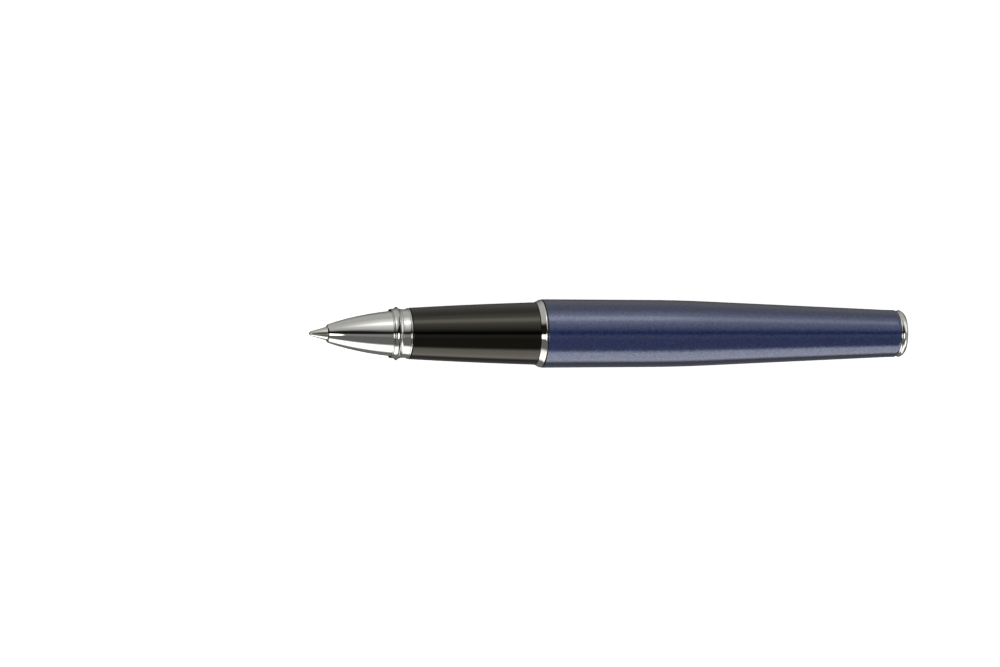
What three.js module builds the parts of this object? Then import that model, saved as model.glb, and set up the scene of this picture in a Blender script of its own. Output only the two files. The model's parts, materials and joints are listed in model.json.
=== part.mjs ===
// A rollerball pen without its cap: grip section, refill, spring and screw-on barrel.
//
// Units are millimetres. The pen lies along X with its writing tip towards -X, and the origin
// is the centre of the flat face at the tail. Every turned piece is drawn as an outline of
// [radius, station] points, where a station is the distance from the very tip of the ball.

import * as THREE from "three";

// ---- driving dimensions ----

const LENGTH = 124.7;

// Where one visible piece ends and the next begins, measured from the tip.
const NOSE_FRONT = 3.6;
const RING_FRONT = 16.75;
const COLLAR_FRONT = 18.58;
const GRIP_FRONT = 20.5;
const GRIP_BACK = 46.65;
const BARREL_FRONT = 48;
const BARREL_BACK = 123.05;

// Outside radii at those places.
const NOSE_TIP_RADIUS = 1.64;
const NOSE_BACK_RADIUS = 4.57;
const RIDGE_RADIUS = 5.42;
const GRIP_FRONT_RADIUS = 5.21;
const GRIP_BACK_RADIUS = 6.35;
const CENTRE_RING_RADIUS = 6.89;
const BARREL_RADIUS = 6.97;
const BARREL_BACK_RADIUS = 4.87;

// The refill: a ball of 0.7 mm in a standard tube of about 6 mm by 111 mm.
const BALL_RADIUS = 0.35;
const SHANK_RADIUS = 1.3;
const REFILL_RADIUS = 3.05;
const REFILL_SHOULDER = 20.55;
const REFILL_LENGTH = 111;

// The screw joint between the grip section and the barrel, a right-hand thread.
const THREAD_PITCH = 1;
const THREAD_TURNS = 6;
const THREAD_FRONT = 48;
const THREAD_ROOT_RADIUS = 4.75;
const THREAD_CREST_RADIUS = 5.2;
const THREAD_ROOT_WIDTH = 0.6 * THREAD_PITCH;
const THREAD_CREST_WIDTH = 0.2 * THREAD_PITCH;
const THREAD_CLEARANCE = 0.1;

// Gaps: between fixed pieces on a common radius, and between faces that meet end to end.
const FIT = 0.05;
const SEAM = 0.05;

// Flats round every turned piece.
const SIDES = 24;

// ---- finishes ----

const CHROME = { color: 0xc9cacb, roughness: 0.08, metalness: 1 };
const STEEL = { color: 0xb4b5b6, roughness: 0.25, metalness: 1 };
const BRASS = { color: 0xc2a25a, roughness: 0.35, metalness: 1 };
const SPRING_STEEL = { color: 0x9a9c9f, roughness: 0.3, metalness: 1 };
const BLACK_LACQUER = { color: 0x0c0c0b, roughness: 0.12, metalness: 0 };
const BLUE_LACQUER = { color: 0x27304f, roughness: 0.2, metalness: 0.6 };
const CARBIDE = { color: 0x6f7072, roughness: 0.15, metalness: 1 };
const BLACK_PLASTIC = { color: 0x1b1b1d, roughness: 0.5, metalness: 0 };
const GREY_PLASTIC = { color: 0x8d9094, roughness: 0.5, metalness: 0 };
const WHITE_PLASTIC = { color: 0xe6e6e2, roughness: 0.45, metalness: 0 };
const INKED_FIBRE = { color: 0x1d2a63, roughness: 0.9, metalness: 0 };

// ---- outline helpers ----

// A quadratic curve between two [radius, station] points, pulled towards a third.
function bend(from, pull, to, steps) {
  const [start, control, end] = [from, pull, to].map((point) => new THREE.Vector2(...point));
  return new THREE.QuadraticBezierCurve(start, control, end).getPoints(steps).map((p) => p.toArray());
}

// An arc about a [radius, station] centre. 0 degrees faces outwards and 90 faces the tail.
function round(centre, size, startDegrees, endDegrees, steps) {
  const start = THREE.MathUtils.degToRad(startDegrees);
  const end = THREE.MathUtils.degToRad(endDegrees);
  const arc = new THREE.EllipseCurve(...centre, size, size, start, end, end < start);
  return arc.getPoints(steps).map((p) => p.toArray());
}

// Closes an outline that leaves the axis, and orders it so that its solid faces outwards. The
// flats of the solid, not its edges, touch the stated radii.
function closed(outline) {
  const toEdge = 1 / Math.cos(Math.PI / SIDES);
  const points = outline.map(([radius, station]) => new THREE.Vector2(radius * toEdge, station));
  if (points[0].x > 0) {
    points.push(points[0].clone());
  }
  return THREE.ShapeUtils.area(points) < 0 ? points.reverse() : points;
}

// A solid of revolution, with a flat facing +Z.
function turned(outline) {
  return new THREE.LatheGeometry(closed(outline), SIDES, Math.PI / SIDES);
}

// A turned solid whose outline changes with the angle, as a screw thread's does.
function turnedByAngle(outlineAt) {
  const columns = Array.from({ length: SIDES + 1 }, (_, side) => {
    const turn = (side + 0.5) / SIDES;
    const angle = turn * 2 * Math.PI;
    return closed(outlineAt(turn)).map(
      ({ x, y }) => new THREE.Vector3(x * Math.sin(angle), y, x * Math.cos(angle)),
    );
  });
  const rows = columns[0].length;
  const indices = [];
  for (let side = 0; side < SIDES; side += 1) {
    for (let row = 0; row < rows - 1; row += 1) {
      const here = side * rows + row;
      indices.push(here, here + rows, here + 1, here + rows + 1, here + 1, here + rows);
    }
  }
  const geometry = new THREE.BufferGeometry().setFromPoints(columns.flat());
  geometry.setIndex(indices);
  return geometry;
}

// The stretch of outline that a right-hand thread makes at one angle, given as a share of a turn.
// Both of its radii fade to endRadius at the front and the back of the threaded length.
function threadOutline(turn, { front, back, start, root, crest, rootWidth, crestWidth, endRadius }) {
  const fadeLength = 0.5 * THREAD_PITCH;
  const ridge = [
    [root, -rootWidth / 2],
    [crest, -crestWidth / 2],
    [crest, crestWidth / 2],
    [root, rootWidth / 2],
  ];
  const points = [[endRadius, front]];
  const ridges = Math.ceil((back - front) / THREAD_PITCH) + 1;
  for (let count = -1; count < ridges; count += 1) {
    const middle = start + (count + turn) * THREAD_PITCH;
    for (const [radius, offset] of ridge) {
      const station = THREE.MathUtils.clamp(middle + offset, front, back);
      const fade = Math.min(1, (station - front) / fadeLength, (back - station) / fadeLength);
      points.push([THREE.MathUtils.lerp(endRadius, radius, fade), station]);
    }
  }
  points.push([endRadius, back]);
  return points;
}

// ---- the grip section ----

const SPIGOT_RADIUS = 3.95;
const SPIGOT_BACK = 25.9;
const CORE_RADIUS = 4.5;
const FLANGE_RADIUS = 5.45;
const FLANGE_FRONT = 43.5;
const CORE_BORE = 3.3;
const NECK_BACK = 55.4;

// The cone has a chamfered mouth and a thin square flange at its back.
function noseCone() {
  const mouthBack = NOSE_FRONT + 0.22;
  const flangeRadius = 4.97;
  const back = RING_FRONT - SEAM;
  const flangeFront = back - 0.13;
  const pointBore = SHANK_RADIUS + 0.06;
  const plugBore = 2.3;
  const plugBoreFront = 8.9;
  return turned([
    [pointBore + 0.1, NOSE_FRONT],
    [NOSE_TIP_RADIUS, NOSE_FRONT],
    [1.86, mouthBack],
    ...bend([1.905, mouthBack + 0.08], [3.82, 9.6], [NOSE_BACK_RADIUS, flangeFront], 6),
    [flangeRadius, flangeFront],
    [flangeRadius, back],
    [SPIGOT_RADIUS, back],
    [SPIGOT_RADIUS, SPIGOT_BACK],
    [REFILL_RADIUS + 0.15, SPIGOT_BACK],
    [REFILL_RADIUS + 0.15, REFILL_SHOULDER - SEAM],
    [plugBore, REFILL_SHOULDER - SEAM],
    [plugBore, plugBoreFront],
    [pointBore, plugBoreFront],
    [pointBore, NOSE_FRONT + 0.1],
  ]);
}

// A ring with a chamfered front and a sharp ridge. The slope in front steepens towards the ridge,
// and the slope behind flattens away from it.
function noseRing() {
  const chamfer = 0.13;
  const frontRadius = 4.98;
  const peak = RING_FRONT + 1.09;
  const crest = 0.03;
  const slopeFront = [frontRadius + 0.03, RING_FRONT + 0.37];
  const slopePull = [frontRadius + 0.1, peak - 0.22];
  const fallPull = [frontRadius + 0.1, peak + 0.34];
  const back = COLLAR_FRONT - SEAM;
  return turned([
    [SPIGOT_RADIUS + FIT, RING_FRONT],
    [frontRadius - chamfer, RING_FRONT],
    [frontRadius, RING_FRONT + chamfer],
    ...bend(slopeFront, slopePull, [RIDGE_RADIUS, peak - crest], 4),
    ...bend([RIDGE_RADIUS, peak + crest], fallPull, [frontRadius + 0.02, back], 3),
    [SPIGOT_RADIUS + FIT, back],
  ]);
}

// The waisted collar. A small half-round lip finishes its back edge.
function gripCollar() {
  const lip = 0.17;
  const waistFront = [4.965, COLLAR_FRONT];
  const waistBackRadius = 4.99;
  const back = GRIP_FRONT - 2.4 * SEAM;
  return turned([
    [SPIGOT_RADIUS + FIT, COLLAR_FRONT],
    ...bend(waistFront, [4.86, COLLAR_FRONT + 0.8], [waistBackRadius, back - 2 * lip], 4),
    ...round([waistBackRadius, back - lip], lip, -90, 90, 6).slice(1),
    [SPIGOT_RADIUS + FIT, back],
  ]);
}

// The grip's bore fits the core at its front, then widens to take the core's flange at its back.
function gripSleeve() {
  const edge = 0.12;
  const frontBore = CORE_RADIUS + 2 * FIT;
  const backBore = FLANGE_RADIUS + 2 * FIT;
  const back = GRIP_BACK - SEAM;
  return turned([
    [frontBore, GRIP_FRONT],
    ...round([GRIP_FRONT_RADIUS - edge, GRIP_FRONT + edge], edge, -90, 0, 3),
    ...bend([5.23, GRIP_FRONT + 0.6], [5.92, 32.8], [GRIP_BACK_RADIUS, back - edge], 5).slice(1),
    ...round([GRIP_BACK_RADIUS - edge, back - edge], edge, 0, 90, 3).slice(1),
    [backBore, back],
    [backBore, FLANGE_FRONT - 1],
    [frontBore, SPIGOT_BACK + 2],
  ]);
}

// The brass tube under the grip, with a boss round the nose cone's spigot and a flange that
// fills the grip's back. Its neck carries the male thread that the barrel screws on.
function sectionCore() {
  const front = GRIP_FRONT + SEAM;
  const bossBack = SPIGOT_BACK + 1;
  const waistRadius = 4;
  const chamfer = 0.4;
  const thread = {
    front: THREAD_FRONT,
    back: THREAD_FRONT + THREAD_TURNS * THREAD_PITCH,
    start: THREAD_FRONT,
    root: THREAD_ROOT_RADIUS,
    crest: THREAD_CREST_RADIUS,
    rootWidth: THREAD_ROOT_WIDTH,
    crestWidth: THREAD_CREST_WIDTH,
    endRadius: THREAD_ROOT_RADIUS,
  };
  return turnedByAngle((turn) => [
    [SPIGOT_RADIUS + FIT, front],
    [CORE_RADIUS, front],
    [CORE_RADIUS, bossBack],
    [waistRadius, bossBack],
    [waistRadius, FLANGE_FRONT],
    [FLANGE_RADIUS, FLANGE_FRONT],
    [FLANGE_RADIUS, GRIP_BACK - 2 * SEAM],
    [THREAD_ROOT_RADIUS, GRIP_BACK - 2 * SEAM],
    ...threadOutline(turn, thread),
    [THREAD_ROOT_RADIUS, NECK_BACK - chamfer],
    [THREAD_ROOT_RADIUS - chamfer, NECK_BACK],
    [CORE_BORE, NECK_BACK],
    [CORE_BORE, SPIGOT_BACK + SEAM],
    [SPIGOT_RADIUS + FIT, SPIGOT_BACK + SEAM],
  ]);
}

// ---- the refill ----

const WICK_RADIUS = 0.5;
const WICK_FRONT = 2;
const WICK_BACK = 29.5;
const SHANK_BACK = 13;
const TUBE_BORE = 2.65;
const TUBE_BACK = 109.5;
const PLUG_FRONT = 106;

function writingBall() {
  const ball = new THREE.SphereGeometry(BALL_RADIUS, 16, 12);
  return ball.translate(0, BALL_RADIUS, 0);
}

// The steel point: a cone whose crimped lip keeps the ball in its socket, on a straight shank.
function refillPoint() {
  const lipStation = 0.148;
  const lipRadius = 0.43;
  const coneBack = 3.25;
  const socket = BALL_RADIUS + 0.02;
  const inkBore = 0.15;
  const wickBore = WICK_RADIUS + FIT;
  return turned([
    [lipRadius, lipStation],
    [SHANK_RADIUS, coneBack],
    [SHANK_RADIUS, SHANK_BACK],
    [wickBore, SHANK_BACK],
    [wickBore, WICK_FRONT - SEAM],
    [inkBore, WICK_FRONT - 0.3],
    ...round([0, BALL_RADIUS], socket, 66, -33, 6),
  ]);
}

function refillNose() {
  const plugRadius = 2.1;
  const flangeRadius = REFILL_RADIUS - FIT;
  const flangeBack = REFILL_SHOULDER + 0.5;
  const spigotRadius = TUBE_BORE - FIT;
  const spigotBack = 25;
  return turned([
    [SHANK_RADIUS + FIT, 9],
    [plugRadius - 0.3, 9],
    [plugRadius, 9.6],
    [plugRadius, REFILL_SHOULDER],
    [flangeRadius, REFILL_SHOULDER],
    [flangeRadius, flangeBack],
    [spigotRadius, flangeBack],
    [spigotRadius, spigotBack],
    [WICK_RADIUS + FIT, spigotBack],
    [WICK_RADIUS + FIT, SHANK_BACK + SEAM],
    [SHANK_RADIUS + FIT, SHANK_BACK + SEAM],
  ]);
}

function refillTube() {
  const front = REFILL_SHOULDER + 0.5 + SEAM;
  return turned([
    [TUBE_BORE, front],
    [REFILL_RADIUS, front],
    [REFILL_RADIUS, TUBE_BACK],
    [TUBE_BORE, TUBE_BACK],
  ]);
}

function inkReservoir() {
  const radius = TUBE_BORE - FIT;
  const front = 26;
  const back = 104;
  const pocketBack = WICK_BACK + SEAM;
  return turned([
    [WICK_RADIUS + FIT, front],
    [radius, front],
    [radius, back],
    [0, back],
    [0, pocketBack],
    [WICK_RADIUS + FIT, pocketBack],
  ]);
}

function feedWick() {
  return turned([
    [0, WICK_FRONT],
    [WICK_RADIUS, WICK_FRONT],
    [WICK_RADIUS, WICK_BACK],
    [0, WICK_BACK],
  ]);
}

// The rear plug has a vent, so air can replace the ink that is used.
function refillEndPlug() {
  const vent = 0.4;
  const headFront = TUBE_BACK + SEAM;
  const edge = 0.3;
  return turned([
    [vent, PLUG_FRONT],
    [TUBE_BORE - FIT, PLUG_FRONT],
    [TUBE_BORE - FIT, headFront],
    [REFILL_RADIUS, headFront],
    [REFILL_RADIUS, REFILL_LENGTH - edge],
    [REFILL_RADIUS - edge, REFILL_LENGTH],
    [vent, REFILL_LENGTH],
  ]);
}

// ---- the spring between the refill and the tail ----

const SPRING_BACK = 117.5;

class SpringLine extends THREE.Curve {
  constructor(radius, front, back, turns) {
    super();
    Object.assign(this, { radius, front, back, turns });
  }

  getPoint(t) {
    const angle = t * this.turns * 2 * Math.PI;
    const station = THREE.MathUtils.lerp(this.front, this.back, t);
    return new THREE.Vector3(this.radius * Math.sin(angle), station, this.radius * Math.cos(angle));
  }
}

function refillSpring() {
  const wire = 0.22;
  const coilRadius = 2.3;
  const turns = 6;
  const stepsPerTurn = 12;
  const wireSides = 6;
  const reach = wire + SEAM;
  const line = new SpringLine(coilRadius, REFILL_LENGTH + reach, SPRING_BACK - reach, turns);
  const corners = Array.from({ length: wireSides }, (_, side) => {
    const angle = (side / wireSides) * 2 * Math.PI;
    return new THREE.Vector2(wire * Math.cos(angle), wire * Math.sin(angle));
  });
  return new THREE.ExtrudeGeometry(new THREE.Shape(corners), {
    extrudePath: line,
    steps: turns * stepsPerTurn,
  });
}

// ---- the barrel ----

const NECK_COVER_RADIUS = 5.65;
const BUSH_RADIUS = 6.36;
const BUSH_BACK = 57;
const BARREL_BORE = 6.44;
const TAPER_BORE_FRONT = 74;
const TAPER_BORE_BACK = 119.5;
const TAIL_BORE = 4.38;
const STUD_RADIUS = 1.5;
const DISC_RADIUS = 3.6;
const DISC_THICKNESS = 1;

// Inside radius of the barrel at a station on its tapering part.
function taperBore(station) {
  return THREE.MathUtils.mapLinear(station, TAPER_BORE_FRONT, TAPER_BORE_BACK, BARREL_BORE, TAIL_BORE);
}

// A cone that steps up from the grip to the barrel, ending in a narrow polished edge.
function centreRing() {
  const shoulder = 0.3;
  const edge = 0.12;
  const back = BARREL_FRONT - 3 * SEAM;
  return turned([
    [NECK_COVER_RADIUS + FIT, GRIP_BACK],
    [GRIP_BACK_RADIUS + 0.03, GRIP_BACK],
    ...round([CENTRE_RING_RADIUS - shoulder, back - edge - 0.04], shoulder, -27, 0, 2),
    ...round([CENTRE_RING_RADIUS - edge, back - edge], edge, 0, 90, 3),
    [NECK_COVER_RADIUS + FIT, back],
  ]);
}

// The threaded bush in the barrel's mouth. Its short nose carries the centre ring.
function threadBush() {
  const noseFront = GRIP_BACK + 0.2;
  const reliefRadius = 5.35;
  const thread = {
    front: THREAD_FRONT + 0.2,
    back: NECK_BACK + 0.2,
    start: THREAD_FRONT,
    root: THREAD_ROOT_RADIUS + THREAD_CLEARANCE,
    crest: THREAD_CREST_RADIUS + THREAD_CLEARANCE,
    rootWidth: THREAD_ROOT_WIDTH + THREAD_CLEARANCE,
    crestWidth: THREAD_CREST_WIDTH + 2 * THREAD_CLEARANCE,
    endRadius: reliefRadius,
  };
  return turnedByAngle((turn) => [
    [BUSH_RADIUS, BUSH_BACK],
    [BUSH_RADIUS, BARREL_FRONT],
    [NECK_COVER_RADIUS, BARREL_FRONT],
    [NECK_COVER_RADIUS, noseFront],
    [reliefRadius, noseFront],
    ...threadOutline(turn, thread),
    [reliefRadius, BUSH_BACK],
  ]);
}

// The lacquered tube: nearly parallel, then a gentle bend into a straight taper.
function barrelTube() {
  const edge = 0.15;
  const shoulder = [BARREL_RADIUS - 0.105, 70];
  const bendPull = [6.85, 76];
  const taperFront = [6.62, 81.4];
  const taperBack = [4.945, 119.7];
  return turned([
    [BARREL_BORE, BARREL_FRONT],
    ...round([BARREL_RADIUS - edge, BARREL_FRONT + edge], edge, -90, 0, 3),
    ...bend(shoulder, bendPull, taperFront, 4),
    taperBack,
    [4.9, 120.8],
    ...bend([BARREL_BACK_RADIUS, 122.2], [BARREL_BACK_RADIUS, BARREL_BACK], [4.6, BARREL_BACK], 4),
    [TAIL_BORE, BARREL_BACK],
    [TAIL_BORE, TAPER_BORE_BACK],
    [BARREL_BORE, TAPER_BORE_FRONT],
  ]);
}

// A bobbin that centres the refill: a thin sleeve with a flange at each end.
function refillGuide() {
  const front = 96;
  const back = 112.5;
  const flange = 1.2;
  const sleeveRadius = 3.9;
  const bore = REFILL_RADIUS + 0.25;
  return turned([
    [bore, front],
    [taperBore(front) - FIT, front],
    [taperBore(front + flange) - FIT, front + flange],
    [sleeveRadius, front + flange],
    [sleeveRadius, back - flange],
    [taperBore(back - flange) - FIT, back - flange],
    [taperBore(back) - FIT, back],
    [bore, back],
  ]);
}

// The plug glued into the tail. Its front recess seats the spring, its bore takes the cap's stud.
function tailPlug() {
  const front = SPRING_BACK - 1;
  const recessRadius = 2.8;
  const radius = TAIL_BORE - FIT;
  const studBore = STUD_RADIUS + FIT;
  return turned([
    [recessRadius, front],
    [radius, front],
    [radius, BARREL_BACK],
    [studBore, BARREL_BACK],
    [studBore, SPRING_BACK],
    [recessRadius, SPRING_BACK],
  ]);
}

// The rounded ring at the tail, with a fine bead in front and a floor under the end disc.
function tailRing() {
  const front = BARREL_BACK + SEAM;
  const floorBack = LENGTH - DISC_THICKNESS - SEAM;
  const back = LENGTH - 0.06;
  const bead = 4.64;
  const crest = BARREL_BACK_RADIUS - 0.02;
  return turned([
    [STUD_RADIUS + FIT, front],
    [bead - 0.12, front],
    [bead - 0.02, front + 0.1],
    [bead, front + 0.19],
    ...bend([bead - 0.02, front + 0.27], [crest - 0.05, front + 0.44], [crest, front + 0.62], 3),
    ...bend([crest, front + 0.68], [4.68, back - 0.36], [4.18, back], 4),
    [DISC_RADIUS + FIT, back],
    [DISC_RADIUS + FIT, floorBack],
    [STUD_RADIUS + FIT, floorBack],
  ]);
}

// The end disc. Its flat outer face is the pen's reference plane.
function tailCap() {
  const chamfer = 0.12;
  const front = LENGTH - DISC_THICKNESS;
  const studFront = SPRING_BACK + 0.6;
  return turned([
    [0, studFront],
    [STUD_RADIUS, studFront],
    [STUD_RADIUS, front],
    [DISC_RADIUS, front],
    [DISC_RADIUS, LENGTH - chamfer],
    [DISC_RADIUS - chamfer, LENGTH],
    [0, LENGTH],
  ]);
}

// ---- assembly ----

function assembly(pieces) {
  const group = new THREE.Group();
  for (const [name, geometry, finish] of pieces) {
    const mesh = new THREE.Mesh(geometry, new THREE.MeshStandardMaterial(finish));
    mesh.name = name;
    group.add(mesh);
  }
  return group;
}

const gripSection = assembly([
  ["nose_cone", noseCone(), CHROME],
  ["nose_ring", noseRing(), CHROME],
  ["grip_collar", gripCollar(), CHROME],
  ["grip_sleeve", gripSleeve(), BLACK_LACQUER],
  ["section_core", sectionCore(), BRASS],
]);

const refill = assembly([
  ["writing_ball", writingBall(), CARBIDE],
  ["refill_point", refillPoint(), STEEL],
  ["refill_nose", refillNose(), BLACK_PLASTIC],
  ["refill_tube", refillTube(), GREY_PLASTIC],
  ["ink_reservoir", inkReservoir(), INKED_FIBRE],
  ["feed_wick", feedWick(), INKED_FIBRE],
  ["refill_end_plug", refillEndPlug(), WHITE_PLASTIC],
]);

const barrel = assembly([
  ["refill_spring", refillSpring(), SPRING_STEEL],
  ["centre_ring", centreRing(), CHROME],
  ["thread_bush", threadBush(), BRASS],
  ["barrel_tube", barrelTube(), BLUE_LACQUER],
  ["refill_guide", refillGuide(), BLACK_PLASTIC],
  ["tail_plug", tailPlug(), BLACK_PLASTIC],
  ["tail_ring", tailRing(), CHROME],
  ["tail_cap", tailCap(), CHROME],
]);

// Stations run along +Y while the pieces are drawn. Turning them onto +X and moving them back
// by the pen's length puts the centre of the tail's flat face at the origin.
const pen = new THREE.Group();
pen.rotation.z = -Math.PI / 2;
pen.position.x = -LENGTH;
pen.add(gripSection, refill, barrel);

export default pen;
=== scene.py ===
"""The looks of a rollerball pen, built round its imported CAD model.

Every turned CAD piece is swept again from its own outline with fine curves and fillets, the screw
thread and the spring are wound at full detail, and each piece gets a procedural material.
"""

import json
import math

import bpy
import numpy as np
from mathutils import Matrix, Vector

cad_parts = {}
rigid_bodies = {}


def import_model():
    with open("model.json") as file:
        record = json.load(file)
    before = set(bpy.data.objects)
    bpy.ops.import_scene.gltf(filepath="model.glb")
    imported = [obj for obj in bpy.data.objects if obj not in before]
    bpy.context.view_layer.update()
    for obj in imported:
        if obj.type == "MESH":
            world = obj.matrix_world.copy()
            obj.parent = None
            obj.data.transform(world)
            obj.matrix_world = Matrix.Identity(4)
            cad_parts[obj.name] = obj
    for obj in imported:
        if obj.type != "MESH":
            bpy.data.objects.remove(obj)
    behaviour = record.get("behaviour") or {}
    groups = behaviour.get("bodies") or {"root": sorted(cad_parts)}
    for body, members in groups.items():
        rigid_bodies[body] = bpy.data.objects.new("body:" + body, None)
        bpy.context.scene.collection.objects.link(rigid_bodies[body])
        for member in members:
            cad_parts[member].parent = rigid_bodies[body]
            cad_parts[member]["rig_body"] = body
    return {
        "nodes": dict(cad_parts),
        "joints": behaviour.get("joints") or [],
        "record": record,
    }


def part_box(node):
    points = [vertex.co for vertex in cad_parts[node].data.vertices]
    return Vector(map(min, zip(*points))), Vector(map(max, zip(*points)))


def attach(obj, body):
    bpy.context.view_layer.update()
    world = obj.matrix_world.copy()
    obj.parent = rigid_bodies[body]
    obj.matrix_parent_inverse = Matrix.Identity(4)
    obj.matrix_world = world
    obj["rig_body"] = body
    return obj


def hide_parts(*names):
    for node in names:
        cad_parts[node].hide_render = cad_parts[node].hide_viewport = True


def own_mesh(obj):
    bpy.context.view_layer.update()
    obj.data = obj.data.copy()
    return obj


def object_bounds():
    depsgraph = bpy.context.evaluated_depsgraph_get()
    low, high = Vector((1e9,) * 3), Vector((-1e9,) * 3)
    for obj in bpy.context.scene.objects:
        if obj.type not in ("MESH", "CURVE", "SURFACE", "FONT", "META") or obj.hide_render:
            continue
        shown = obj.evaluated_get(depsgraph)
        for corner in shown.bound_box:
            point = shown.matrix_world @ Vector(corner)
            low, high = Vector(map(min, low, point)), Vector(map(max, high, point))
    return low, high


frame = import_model()
cad_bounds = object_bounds()

# Lengths in metres: GRID is how finely the CAD's points are told apart, and points of a skin
# closer than SAME_PLACE are merged.
MM = 0.001
PER_MM = 1000.0
GRID = 1e-7
SAME_PLACE = 1e-8

FILLET = 0.04 * MM
SIDES = 192
SHARP_ANGLE = math.radians(35)


# ---- reading the CAD outlines ----

def cad_outline(node):
    """The piece's (x, radius) outline in metres, read from one half-plane of its CAD mesh.

    A flat of the CAD solid, not its edges, has the true radius, so the radii are taken there."""
    mesh = frame["nodes"][node].data
    places = np.array([vertex.co for vertex in mesh.vertices], float)
    radii = np.hypot(places[:, 1], places[:, 2])
    angles = np.degrees(np.arctan2(places[:, 1], places[:, 2]))
    sides = len(set(np.round(angles[radii > radii.max() / 2], 1).tolist()))
    in_plane = (radii < GRID) | (np.abs(angles - 180 / sides) < 1)
    keys = [(round(x / GRID), round(r / GRID)) for x, r in zip(places[:, 0], radii)]
    links = {}
    for edge in mesh.edges:
        a, b = edge.vertices
        if in_plane[a] and in_plane[b] and keys[a] != keys[b]:
            links.setdefault(keys[a], set()).add(keys[b])
            links.setdefault(keys[b], set()).add(keys[a])
    ends = sorted(key for key, near in links.items() if len(near) == 1)
    order = [ends[0] if ends else min(links)]
    while True:
        onward = [key for key in sorted(links[order[-1]]) if key not in order]
        if not onward:
            break
        order.append(onward[0])
    flat = math.cos(math.pi / sides)
    return np.array([(x * GRID, r * GRID * flat) for x, r in order]), not ends


def turn_between(before, after):
    """The angle in radians that an outline turns through between two edges."""
    cross = before[0] * after[1] - before[1] * after[0]
    return math.atan2(cross, float(np.dot(before, after)))


def unit(vector):
    return vector / np.linalg.norm(vector)


class Outline:
    """Smooths an outline. Its sharp corners get a fillet, and its gentle turns become curves.

    Each fine point is (x, radius, and the direction of the outline there)."""

    # An edge that is STRAIGHT_RATIO times longer than its neighbour stays straight up to it.
    # Known fault: the refill point's shank is only 3 times longer than its cone, so it counts as
    # a curve and swells by 0.29 mm, into the nose cone.
    CORNER = math.radians(38)
    STRAIGHT_RATIO = 6
    STEP = math.radians(4)
    FILLET_STEPS = 6
    FILLET_SHARE = 0.3

    def __init__(self, points, closed, fillet):
        self.points = points
        self.closed = closed
        self.fillet = fillet

    def at(self, index):
        return self.points[index % len(self.points)]

    def is_end(self, index):
        return not self.closed and index % len(self.points) in (0, len(self.points) - 1)

    def edges_at(self, index):
        return self.at(index) - self.at(index - 1), self.at(index + 1) - self.at(index)

    def is_corner(self, index):
        return self.is_end(index) or abs(turn_between(*self.edges_at(index))) > self.CORNER

    def cut_at(self, index):
        """How far a corner's fillet reaches along each of its edges, at most a share of either."""
        if self.is_end(index):
            return 0
        shares = [self.FILLET_SHARE * np.linalg.norm(edge) for edge in self.edges_at(index)]
        return min(self.fillet, *shares)

    def tangent_at(self, index):
        """The direction at a gentle turn. A far longer edge on one side is a straight line."""
        before, after = self.edges_at(index)
        size_before, size_after = np.linalg.norm(before), np.linalg.norm(after)
        if size_before > self.STRAIGHT_RATIO * size_after:
            return unit(before)
        if size_after > self.STRAIGHT_RATIO * size_before:
            return unit(after)
        return unit(unit(before) * size_after + unit(after) * size_before)

    def fillet_points(self, index):
        corner, cut = self.at(index), self.cut_at(index)
        before, after = self.edges_at(index)
        first, last = corner - unit(before) * cut, corner + unit(after) * cut
        points = []
        for step in range(self.FILLET_STEPS):
            t = step / self.FILLET_STEPS
            point = first * (1 - t) ** 2 + corner * 2 * t * (1 - t) + last * t ** 2
            direction = (corner - first) * (1 - t) + (last - corner) * t
            points.append((*point, *unit(direction)))
        return points

    def edge_points(self, index):
        """Points along one edge, without its last, curved to meet its neighbours smoothly."""
        start, end = self.at(index), self.at(index + 1)
        straight = unit(end - start)
        if self.is_corner(index):
            leaving = straight
            start = start + straight * self.cut_at(index)
        else:
            leaving = self.tangent_at(index)
        if self.is_corner(index + 1):
            arriving = straight
            end = end - straight * self.cut_at(index + 1)
        else:
            arriving = self.tangent_at(index + 1)
        turn = abs(turn_between(leaving, straight)) + abs(turn_between(straight, arriving))
        steps = max(1, math.ceil(turn / self.STEP))
        leaving, arriving = (way * np.linalg.norm(end - start) for way in (leaving, arriving))
        points = []
        for step in range(steps):
            t = step / steps
            point = (
                start * (2 * t ** 3 - 3 * t ** 2 + 1) + leaving * (t ** 3 - 2 * t ** 2 + t)
                + end * (3 * t ** 2 - 2 * t ** 3) + arriving * (t ** 3 - t ** 2)
            )
            direction = (
                (start - end) * (6 * t ** 2 - 6 * t)
                + leaving * (3 * t ** 2 - 4 * t + 1) + arriving * (3 * t ** 2 - 2 * t)
            )
            points.append((*point, *unit(direction)))
        return points

    def smooth(self):
        fine = []
        count = len(self.points)
        for index in range(count if self.closed else count - 1):
            if self.is_corner(index) and not self.is_end(index):
                fine += self.fillet_points(index)
            fine += self.edge_points(index)
        if not self.closed:
            fine.append((*self.points[-1], *unit(self.points[-1] - self.points[-2])))
        return np.array(fine)


def facing_out(outline):
    """Orders an outline so that the skin swept from it faces outwards."""
    x, r = outline[:, 0], outline[:, 1]
    area = np.sum(x * np.roll(r, -1) - np.roll(x, -1) * r) / 2
    if area < 0:
        return outline
    backwards = outline[::-1].copy()
    backwards[:, 2:] *= -1
    return backwards


# ---- meshes ----

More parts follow.
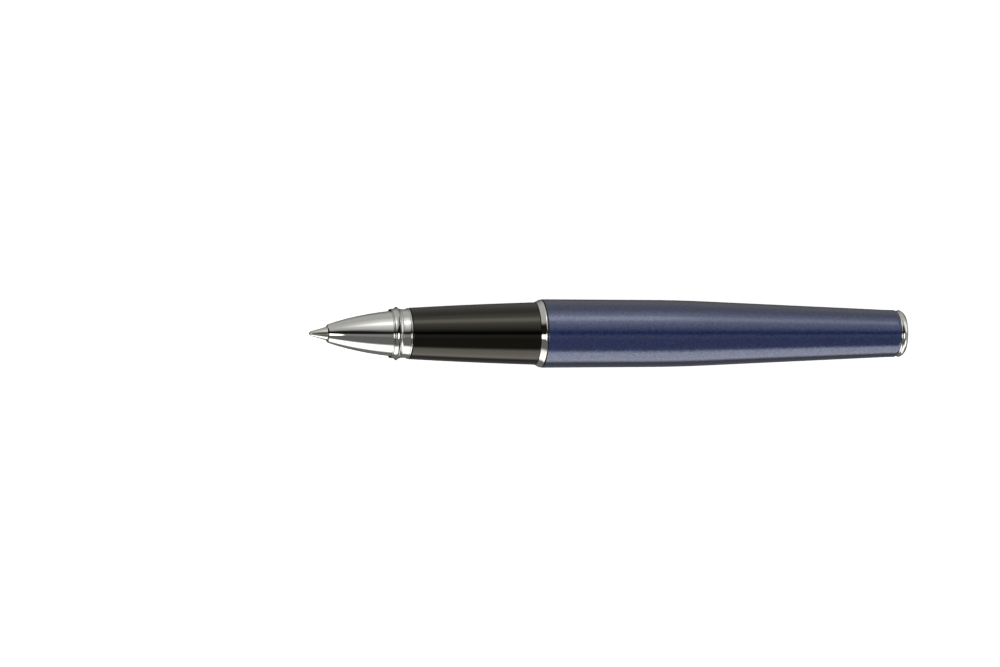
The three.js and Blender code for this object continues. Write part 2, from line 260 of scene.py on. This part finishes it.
def add_piece(vertices, faces, node, material, normals=None):
    """One piece that stands for a CAD node, rides on its body and takes its material slot."""
    name = "fine_" + node
    mesh = bpy.data.meshes.new(name)
    mesh.from_pydata([tuple(vertex) for vertex in vertices], [], faces)
    mesh.polygons.foreach_set("use_smooth", [True] * len(mesh.polygons))
    mesh.update()
    if normals is None:
        mesh.set_sharp_from_angle(angle=SHARP_ANGLE)
    else:
        mesh.normals_split_custom_set_from_vertices([tuple(normal) for normal in normals])
    mesh.materials.append(material)
    piece = bpy.data.objects.new(name, mesh)
    bpy.context.scene.collection.objects.link(piece)
    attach(piece, frame["nodes"][node]["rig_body"])
    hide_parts(node)
    return piece


def skin(columns, closed_rows, closed_round=True):
    """Vertices and faces of the skin over columns of points. Points in one place are merged.

    Any numbers after a point's three coordinates go along with it."""
    vertices, index, ids = [], {}, []
    for column in columns:
        row_ids = []
        for row in column:
            key = tuple(np.round(row[:3] / SAME_PLACE).astype(int).tolist())
            if key not in index:
                index[key] = len(vertices)
                vertices.append(row)
            row_ids.append(index[key])
        ids.append(row_ids)
    rows = len(columns[0])
    faces = []
    for side in range(len(columns) if closed_round else len(columns) - 1):
        here, beside = ids[side], ids[(side + 1) % len(columns)]
        for row in range(rows if closed_rows else rows - 1):
            above = (row + 1) % rows
            corners = [here[row], beside[row], beside[above], here[above]]
            corners = [c for i, c in enumerate(corners) if c != corners[i - 1]]
            if len(set(corners)) > 2:
                faces.append(corners)
    return np.array(vertices), faces


def stood_up(outline, angle):
    """An outline stood up at an angle round the axis, as points and their outward normals."""
    x, r, x_way, r_way = outline.T
    side, up = -math.sin(angle), math.cos(angle)
    return np.stack([x, r * side, r * up, -r_way, x_way * side, x_way * up], axis=1)


def sweep(outline, closed, node, material, sides=SIDES):
    """Sweeps a fine outline round the pen's axis."""
    outline = facing_out(outline)
    columns = [stood_up(outline, 2 * math.pi * side / sides) for side in range(sides)]
    vertices, faces = skin(columns, closed)
    on_axis = np.hypot(vertices[:, 1], vertices[:, 2]) < SAME_PLACE
    vertices[on_axis, 4:] = 0
    return add_piece(vertices[:, :3], faces, node, material, vertices[:, 3:])


def turned(node, material):
    """The finely rounded form of a turned CAD node."""
    points, closed = cad_outline(node)
    return sweep(Outline(points, closed, FILLET).smooth(), closed, node, material)


# ---- material helpers ----

def set_inputs(tree, node, inputs):
    """Links each input given as another node's socket, and sets every other one."""
    for key, value in inputs.items():
        if isinstance(value, bpy.types.NodeSocket):
            tree.links.new(value, node.inputs[key])
        else:
            node.inputs[key].default_value = value


def wire(tree, kind, inputs=None, **settings):
    """Adds a shader node and returns it."""
    node = tree.nodes.new(kind)
    for key, value in settings.items():
        setattr(node, key, value)
    set_inputs(tree, node, inputs or {})
    return node


def new_material(name):
    """A node material, its tree and its Principled shader."""
    material = bpy.data.materials.new(name)
    material.use_nodes = True
    return material, material.node_tree, material.node_tree.nodes["Principled BSDF"]


def calculate(tree, operation, *values):
    inputs = dict(enumerate(values))
    return wire(tree, "ShaderNodeMath", inputs, operation=operation).outputs[0]


def calculate_vector(tree, operation, *values):
    inputs = dict(enumerate(values))
    return wire(tree, "ShaderNodeVectorMath", inputs, operation=operation).outputs[0]


def place(tree, x=1.0, y=1.0, z=1.0):
    """The shaded point in the pen's frame, in millimetres, stretched along each axis."""
    coordinate = wire(tree, "ShaderNodeTexCoord").outputs["Object"]
    return calculate_vector(tree, "MULTIPLY", coordinate, (x * PER_MM, y * PER_MM, z * PER_MM))


def noise(tree, vector, scale=1.0, detail=2.0, roughness=0.5):
    inputs = {"Vector": vector, "Scale": scale, "Detail": detail, "Roughness": roughness}
    return wire(tree, "ShaderNodeTexNoise", inputs).outputs["Fac"]


def spread(tree, value, start, end, low, high, smooth=False):
    """Maps a value that runs from start to end onto low to high."""
    inputs = {"Value": value, "From Min": start, "From Max": end, "To Min": low, "To Max": high}
    kind = "SMOOTHSTEP" if smooth else "LINEAR"
    return wire(tree, "ShaderNodeMapRange", inputs, interpolation_type=kind).outputs["Result"]


def mixed(tree, value, first, second):
    """A colour between two, chosen by a value. A mix node's colours are its inputs 6 and 7."""
    node = wire(tree, "ShaderNodeMix", data_type="RGBA")
    set_inputs(tree, node, {0: value, 6: (*first, 1), 7: (*second, 1)})
    return node.outputs[2]


def bumped(tree, height, depth_mm):
    inputs = {"Height": height, "Strength": 1.0, "Distance": depth_mm * MM}
    return wire(tree, "ShaderNodeBump", inputs).outputs["Normal"]


# ---- materials ----

def metal(name, dark, light, roughness, smudge, ring_pitch, ring_depth):
    """Turned metal: faint rings from the tool, hairline scratches and soft smudges.

    The rings' pitch is in millimetres, and so is the depth of rings and scratches."""
    material, tree, shader = new_material(name)
    rings = noise(tree, place(tree, 1 / ring_pitch, 0, 0), detail=3)
    hairlines = noise(tree, place(tree, 0.6, 9, 9), detail=3, roughness=0.6)
    smudges = noise(tree, place(tree), 0.35, 4, 0.6)
    worn = calculate(tree, "MULTIPLY", hairlines, smudges)
    set_inputs(tree, shader, {
        "Base Color": mixed(tree, smudges, dark, light),
        "Metallic": 1.0,
        "Roughness": spread(tree, worn, 0.15, 0.45, roughness, roughness + smudge),
        "Normal": bumped(tree, calculate(tree, "ADD", rings, hairlines), ring_depth),
    })
    return material


def black_lacquer():
    """Deep gloss black lacquer, with a slight orange peel and specks of dust under the gloss."""
    material, tree, shader = new_material("black_lacquer")
    peel = noise(tree, place(tree), 0.45, 1)
    haze = noise(tree, place(tree), 0.2, 3)
    cells = wire(tree, "ShaderNodeTexVoronoi", {"Vector": place(tree), "Scale": 1.6})
    speck = spread(tree, cells.outputs["Distance"], 0.03, 0.06, 1, 0)
    set_inputs(tree, shader, {
        "Base Color": mixed(tree, speck, (0.0008, 0.0008, 0.0005), (0.008, 0.008, 0.007)),
        "Roughness": spread(tree, haze, 0.3, 0.7, 0.05, 0.09),
        "IOR": 1.5,
        "Specular Tint": (1.0, 0.94, 0.79, 1),
        "Normal": bumped(tree, peel, 0.0006),
    })
    return material


FLAKES_PER_MM = 4
FLAKE_TILT = 0.06


def blue_lacquer():
    """Navy lacquer full of metal flakes, each tilted its own way, under a clear gloss coat.

    Seen at a slant, the pigment darkens and the flakes thin out, as in metallic paint."""
    material, tree, pigment = new_material("blue_lacquer")
    cells = wire(tree, "ShaderNodeTexVoronoi", {"Vector": place(tree), "Scale": FLAKES_PER_MM})
    flake = cells.outputs["Color"]
    tilt = calculate_vector(tree, "SUBTRACT", flake, (0.5, 0.5, 0.5))
    normal = wire(tree, "ShaderNodeNewGeometry").outputs["Normal"]
    small_tilt = calculate_vector(tree, "MULTIPLY", tilt, (FLAKE_TILT, FLAKE_TILT, FLAKE_TILT))
    tilted = calculate_vector(tree, "ADD", normal, small_tilt)
    peel = bumped(tree, noise(tree, place(tree), 0.45, 1), 0.0006)
    coat = {"Coat Weight": 1.0, "Coat Roughness": 0.04, "Coat IOR": 1.5, "Coat Normal": peel}
    slant = wire(tree, "ShaderNodeLayerWeight", {"Blend": 0.5}).outputs["Facing"]
    grain = spread(tree, noise(tree, place(tree), 2.2, 1), 0.3, 0.7, 0.55, 1.45)
    facing = spread(tree, slant, 0, 0.45, 0.68, 0.1)
    shade = calculate(tree, "MULTIPLY", facing, grain)
    set_inputs(tree, pigment, {
        "Base Color": mixed(tree, shade, (0.004, 0.007, 0.03), (0.034, 0.066, 0.27)),
        "Roughness": 0.6,
        "Specular IOR Level": 0.1,
        **coat,
    })
    brightness = wire(tree, "ShaderNodeSeparateColor", {0: flake}).outputs[0]
    flakes = wire(tree, "ShaderNodeBsdfPrincipled", {
        "Base Color": mixed(tree, brightness, (0.075, 0.09, 0.145), (0.155, 0.182, 0.29)),
        "Metallic": 1.0,
        "Roughness": 0.21,
        "Normal": calculate_vector(tree, "NORMALIZE", tilted),
        **coat,
    })
    flake_share = spread(tree, slant, 0, 0.8, 0.43, 0.25)
    both = wire(
        tree, "ShaderNodeMixShader",
        {0: flake_share, 1: pigment.outputs[0], 2: flakes.outputs[0]})
    set_inputs(tree, tree.nodes["Material Output"], {"Surface": both.outputs[0]})
    return material


def moulded_plastic(name, dark, light, roughness):
    """Moulded plastic: a fine spark-eroded grain and slow colour drift."""
    material, tree, shader = new_material(name)
    drift = noise(tree, place(tree), 0.3, 3)
    grain = noise(tree, place(tree), 12)
    set_inputs(tree, shader, {
        "Base Color": mixed(tree, drift, dark, light),
        "Roughness": spread(tree, grain, 0.3, 0.7, roughness, roughness + 0.12),
        "Normal": bumped(tree, grain, 0.004),
    })
    return material


def inked_fibre():
    """Bonded fibre drawn along the pen and soaked unevenly with blue ink."""
    material, tree, shader = new_material("inked_fibre")
    strands = noise(tree, place(tree, 0.5, 14, 14), detail=3)
    soak = noise(tree, place(tree), 0.25, 4)
    shade = spread(tree, calculate(tree, "MULTIPLY", strands, soak), 0.1, 0.45, 0, 1)
    set_inputs(tree, shader, {
        "Base Color": mixed(tree, shade, (0.006, 0.01, 0.06), (0.03, 0.05, 0.2)),
        "Roughness": 0.85,
        "Normal": bumped(tree, strands, 0.02),
    })
    return material


def inked_ball():
    """Bright carbide, with patches of the ink film that the ball carries round."""
    material, tree, shader = new_material("ball_carbide")
    film = spread(tree, noise(tree, place(tree), 2.2, 2), 0.52, 0.6, 0, 1)
    polish = noise(tree, place(tree), 20, 3)
    set_inputs(tree, shader, {
        "Base Color": mixed(tree, film, (0.2, 0.2, 0.21), (0.02, 0.025, 0.06)),
        "Metallic": spread(tree, film, 0, 1, 1.0, 0.2),
        "Roughness": spread(tree, polish, 0.3, 0.7, 0.07, 0.14),
        "Coat Weight": spread(tree, film, 0, 1, 0.0, 1.0),
        "Normal": bumped(tree, polish, 0.0002),
    })
    return material


CHROME = metal(
    "chrome_trim", (0.62, 0.625, 0.61), (0.66, 0.665, 0.65),
    roughness=0.035, smudge=0.03, ring_pitch=0.05, ring_depth=0.00004)
STEEL = metal(
    "point_steel", (0.58, 0.57, 0.54), (0.66, 0.65, 0.62),
    roughness=0.1, smudge=0.05, ring_pitch=0.06, ring_depth=0.0004)
BRASS = metal(
    "brass", (0.62, 0.44, 0.17), (0.78, 0.58, 0.26),
    roughness=0.22, smudge=0.15, ring_pitch=0.08, ring_depth=0.001)
WIRE = metal(
    "spring_steel", (0.4, 0.4, 0.42), (0.52, 0.52, 0.53),
    roughness=0.25, smudge=0.1, ring_pitch=0.1, ring_depth=0.0008)
CARBIDE = inked_ball()
BLACK = black_lacquer()
BLUE = blue_lacquer()
BLACK_PLASTIC = moulded_plastic("black_plastic", (0.016, 0.016, 0.018), (0.026, 0.026, 0.028), 0.38)
GREY_PLASTIC = moulded_plastic("grey_plastic", (0.24, 0.25, 0.26), (0.3, 0.31, 0.32), 0.35)
WHITE_PLASTIC = moulded_plastic("white_plastic", (0.72, 0.72, 0.68), (0.8, 0.8, 0.77), 0.3)
FIBRE = inked_fibre()


# ---- the turned pieces ----

TURNED_PIECES = {
    "nose_cone": CHROME,
    "nose_ring": CHROME,
    "grip_collar": CHROME,
    "grip_sleeve": BLACK,
    "centre_ring": CHROME,
    "barrel_tube": BLUE,
    "tail_ring": CHROME,
    "tail_cap": CHROME,
    "refill_point": STEEL,
    "refill_nose": BLACK_PLASTIC,
    "refill_tube": GREY_PLASTIC,
    "ink_reservoir": FIBRE,
    "feed_wick": FIBRE,
    "refill_end_plug": WHITE_PLASTIC,
    "refill_guide": BLACK_PLASTIC,
    "tail_plug": BLACK_PLASTIC,
}

for node, material in TURNED_PIECES.items():
    turned(node, material)


# ---- the writing ball ----

def writing_ball():
    low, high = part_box("writing_ball")
    radius = (high.z - low.z) / 2
    middle = (low.x + high.x) / 2
    angles = np.linspace(0, math.pi, 49)
    ways = [-np.cos(angles), np.sin(angles)]
    outline = np.stack([middle + radius * ways[0], radius * ways[1], ways[1], -ways[0]], axis=1)
    sweep(outline, False, "writing_ball", CARBIDE, sides=96)


writing_ball()


# ---- the screw thread ----

def joint(name):
    return next(joint for joint in frame["joints"] if joint["name"] == name)


THREAD_PITCH = 2 * math.pi / frame["record"]["behaviour"]["couplings"][0]["ratio"]
THREAD_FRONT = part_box("barrel_tube")[0].x
THREAD_BACK = THREAD_FRONT + joint("barrel_travel")["range_m"][1]


def ridge_form(root, crest, root_width, crest_width):
    """One ridge of the thread as (distance from its middle, radius), its crest slightly round."""
    foot, top = root_width / 2, crest_width / 2
    height = crest - root
    half = [
        (foot, root),
        (top + 0.15 * (foot - top), crest - 0.15 * height),
        (0.9 * top, crest - 0.03 * height),
        (0.6 * top, crest),
    ]
    return [(-offset, radius) for offset, radius in half] + half[::-1]


def thread_outline(turn, front, back, end_radius, ridge):
    """The thread's outline at one angle, given as a share of a turn. It fades at both ends."""
    fade_length = THREAD_PITCH / 2
    points = []
    ridges = math.ceil((back - front) / THREAD_PITCH) + 1
    for count in range(-1, ridges):
        middle = THREAD_FRONT + (count + turn) * THREAD_PITCH
        for offset, radius in ridge:
            x = min(max(middle + offset, front), back)
            fade = min(1.0, (x - front) / fade_length, (back - x) / fade_length)
            points.append((x, end_radius + (radius - end_radius) * fade, 0, 0))
    return np.array(points)


def threaded(node, front, back, low, high, root_width, crest_width):
    """A threaded CAD node. Its outline is plain except in the box from front, low to back, high."""
    points, _ = cad_outline(node)
    x, r = points.T
    in_thread = (x > front + SAME_PLACE) & (x < back - SAME_PLACE) & (r > low) & (r < high)
    ridge = ridge_form(r[in_thread].min(), r[in_thread].max(), root_width, crest_width)
    first = next(i for i in range(len(points)) if in_thread[i - 1] and not in_thread[i])
    plain = np.roll(points, -first, 0)[:-in_thread.sum()]
    fine = facing_out(Outline(plain, False, FILLET).smooth())
    columns = []
    for side in range(SIDES + 1):
        thread = thread_outline(side / SIDES, front, back, fine[0, 1], ridge)
        if fine[0, 0] > fine[-1, 0]:
            outline = np.concatenate([fine, thread])
        else:
            outline = np.concatenate([fine, thread[::-1]])
        columns.append(stood_up(outline, 2 * math.pi * side / SIDES))
    vertices, faces = skin(columns, True, closed_round=False)
    add_piece(vertices[:, :3], faces, node, BRASS)


threaded(
    "section_core", front=THREAD_FRONT, back=THREAD_BACK,
    low=4.6 * MM, high=5.3 * MM, root_width=0.6 * MM, crest_width=0.2 * MM)
threaded(
    "thread_bush", front=THREAD_FRONT + 0.2 * MM, back=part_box("section_core")[1].x + 0.2 * MM,
    low=4.6 * MM, high=5.34 * MM, root_width=0.7 * MM, crest_width=0.4 * MM)


# ---- the spring ----

def refill_spring(coil_turns=6, wire_radius=0.22 * MM, closed_turns=0.8, steps_round=48):
    """A coil of round wire with closed ends, which shortens as the refill is pushed back.

    It does so even at a pose where the barrel has carried it clear of the refill."""
    low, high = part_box("refill_spring")
    coil_radius = high.z - wire_radius
    front, back = low.x + wire_radius, high.x - wire_radius
    open_turns = coil_turns - 2 * closed_turns
    closed_pitch = 2.1 * wire_radius  # the closed turns all but touch
    open_pitch = (back - front - 2 * closed_turns * closed_pitch) / open_turns
    angles = np.linspace(0, 2 * math.pi, 17)[:-1]
    columns = []
    for step in range(coil_turns * steps_round + 1):
        turn = step / steps_round
        from_end = min(turn, coil_turns - turn)
        rise = min(from_end, closed_turns) * closed_pitch
        rise += max(0, from_end - closed_turns) * open_pitch
        x = front + rise if turn < coil_turns / 2 else back - rise
        angle = 2 * math.pi * turn
        outwards = np.array([0, -math.sin(angle), math.cos(angle)])
        centre = outwards * coil_radius + np.array([x, 0, 0])
        ring = [
            centre + wire_radius * (math.cos(a) * outwards + math.sin(a) * np.array([1, 0, 0]))
            for a in angles
        ]
        columns.append(np.array(ring))
    vertices, faces = skin(columns, True, closed_round=False)
    count = len(angles)
    faces.append(list(range(count)))
    faces.append([len(vertices) - 1 - i for i in range(count)])
    spring = add_piece(vertices, faces, "refill_spring", WIRE)
    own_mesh(spring)


refill_spring()


# ---- the studio ----

def window(tree, value, rise_start, rise_end, fall_start, fall_end):
    """Rises smoothly from 0 to 1 and falls to 0 again, between edges in degrees."""
    rising = spread(tree, value, rise_start, rise_end, 0, 1, smooth=True)
    falling = spread(tree, value, fall_start, fall_end, 1, 0, smooth=True)
    return calculate(tree, "MULTIPLY", rising, falling)


# Each light of the room, as seen from the pen. Its first window is its turn round the pen's axis,
# from straight up towards -Y. Its second window is its lean towards the tip. Then comes its
# strength. Angles are in degrees.
LIGHTS = {
    "upper_softbox": ((-66, -55, -51, -40), (-29, -11, -12, 24), 1.13),
    "upper_softbox_glow": ((-92, -57, -52, -17), (-34, -11, -12, 24), 0.87),
    "front_wall": ((0, 8, 56, 64), (-80, -60, 60, 80), 0.165),
    "front_glow": ((0, 9, 13, 22), (-80, -60, 60, 80), 0.12),
    "lower_softbox": ((56, 73, 101, 120), (-75, -60, 18, 52), 2.25),
    "floor_side": ((96, 116, 150, 178), (-91, -90, 90, 91), 0.19),
    "tail_wall": ((-182, -181, 181, 182), (-110, -95, -70, -52), 0.35),
    "upper_tail_wall": ((-110, -90, -56, -28), (-110, -95, -60, -26), 0.5),
}

# The ceiling panel reaches from above the pen round its +Y side and fades out below it. Its upper
# edge is slanted: it starts further round for a greater lean.
CEILING_BACK = (-178, -112)
CEILING_EDGE = (-24, -2)
CEILING_LEAN = (-110, -95, 45, 57)
CEILING_SLANT = 0.7
CEILING_STRENGTH = 0.55

# The round lamp has a soft edge of LAMP_EDGE to either side of its radius.
LAMP_LEAN = 32
LAMP_TURN = 13
LAMP_RADIUS = 11.5
LAMP_EDGE = 1.5
LAMP_STRENGTH = 5.0

# What the rest of the room gives back.
AMBIENT = 0.012


def lamp_light(tree, way):
    lean, turn = math.radians(LAMP_LEAN), math.radians(LAMP_TURN)
    lamp_way = (
        -math.sin(lean),
        -math.cos(lean) * math.sin(turn),
        math.cos(lean) * math.cos(turn),
    )
    towards = wire(tree, "ShaderNodeVectorMath", {0: way, 1: lamp_way}, operation="DOT_PRODUCT")
    away = calculate(tree, "DEGREES", calculate(tree, "ARCCOSINE", towards.outputs["Value"]))
    return spread(tree, away, LAMP_RADIUS - LAMP_EDGE, LAMP_RADIUS + LAMP_EDGE, LAMP_STRENGTH, 0)


def panel_light(tree, turn, lean, turn_window, lean_window, strength):
    lit = calculate(
        tree, "MULTIPLY", window(tree, turn, *turn_window), window(tree, lean, *lean_window))
    return calculate(tree, "MULTIPLY", lit, strength)


def ceiling_light(tree, turn, lean):
    to_tip = calculate(tree, "MAXIMUM", lean, 0.0)
    slanted = calculate(tree, "MULTIPLY_ADD", to_tip, CEILING_SLANT, turn)
    light = spread(tree, slanted, *CEILING_EDGE, CEILING_STRENGTH, 0, smooth=True)
    light = calculate(tree, "MULTIPLY", light, spread(tree, turn, *CEILING_BACK, 0, 1, smooth=True))
    return calculate(tree, "MULTIPLY", light, window(tree, lean, *CEILING_LEAN))


def studio_world():
    """The lights that the pen reflects, on a plain white ground for the camera."""
    world = bpy.data.worlds.new("studio")
    bpy.context.scene.world = world
    world.use_nodes = True
    tree = world.node_tree
    tree.nodes.clear()
    way = wire(tree, "ShaderNodeTexCoord").outputs["Generated"]
    x, y, z = wire(tree, "ShaderNodeSeparateXYZ", {0: way}).outputs
    turn = calculate(tree, "ARCTAN2", calculate(tree, "MULTIPLY", y, -1.0), z)
    lean = calculate(tree, "ARCSINE", calculate(tree, "MULTIPLY", x, -1.0))
    turn, lean = (calculate(tree, "DEGREES", angle) for angle in (turn, lean))

    total = lamp_light(tree, way)
    for panel in LIGHTS.values():
        total = calculate(tree, "ADD", total, panel_light(tree, turn, lean, *panel))
    total = calculate(tree, "ADD", total, ceiling_light(tree, turn, lean))
    total = calculate(tree, "ADD", total, AMBIENT)

    room = wire(tree, "ShaderNodeBackground", {"Color": (1.0, 0.985, 0.955, 1), "Strength": total})
    white = wire(tree, "ShaderNodeBackground", {"Color": (1, 1, 1, 1), "Strength": 1.0})
    to_camera = wire(tree, "ShaderNodeLightPath").outputs["Is Camera Ray"]
    shown = wire(
        tree, "ShaderNodeMixShader", {0: to_camera, 1: room.outputs[0], 2: white.outputs[0]})
    wire(tree, "ShaderNodeOutputWorld", {"Surface": shown.outputs[0]})


def add_floor():
    """A plain pale floor just under the pen. The room lights it, but it lights nothing itself."""
    reach = 0.5
    gap = 0.02 * MM
    height = cad_bounds[0][2] - gap
    mesh = bpy.data.meshes.new("floor")
    corners = [(x, y, height) for x, y in ((-1, -1), (1, -1), (1, 1), (-1, 1))]
    mesh.from_pydata([(x * reach, y * reach, z) for x, y, z in corners], [], [(0, 1, 2, 3)])
    floor = bpy.data.objects.new("floor", mesh)
    bpy.context.scene.collection.objects.link(floor)
    material, tree, shader = new_material("floor_white")
    set_inputs(tree, shader, {
        "Base Color": (0.9, 0.9, 0.9, 1),
        "Roughness": 1.0,
        "Specular IOR Level": 0.0,
        "Emission Color": (1, 1, 1, 1),
        "Emission Strength": 0.75,
    })
    mesh.materials.append(material)
    floor.visible_glossy = False
    floor.visible_diffuse = False


def add_camera():
    """High above the pen and beyond its tip, aimed at a point on its axis in its front half.

    The aim is that point's distance from the tip."""
    aim = 39.4 * MM
    distance = 1015.2 * MM
    tilt = math.radians(12.6)
    data = bpy.data.cameras.new("camera")
    data.lens = 180
    data.sensor_width = 36
    data.clip_start = 0.05
    camera = bpy.data.objects.new("camera", data)
    tip = cad_bounds[0][0]
    camera.location = (tip + aim - distance * math.sin(tilt), 0, distance * math.cos(tilt))
    camera.rotation_euler = (0, -tilt, 0)
    bpy.context.scene.collection.objects.link(camera)
    bpy.context.scene.camera = camera


studio_world()
add_floor()
add_camera()
bpy.context.scene.view_settings.view_transform = "Standard"
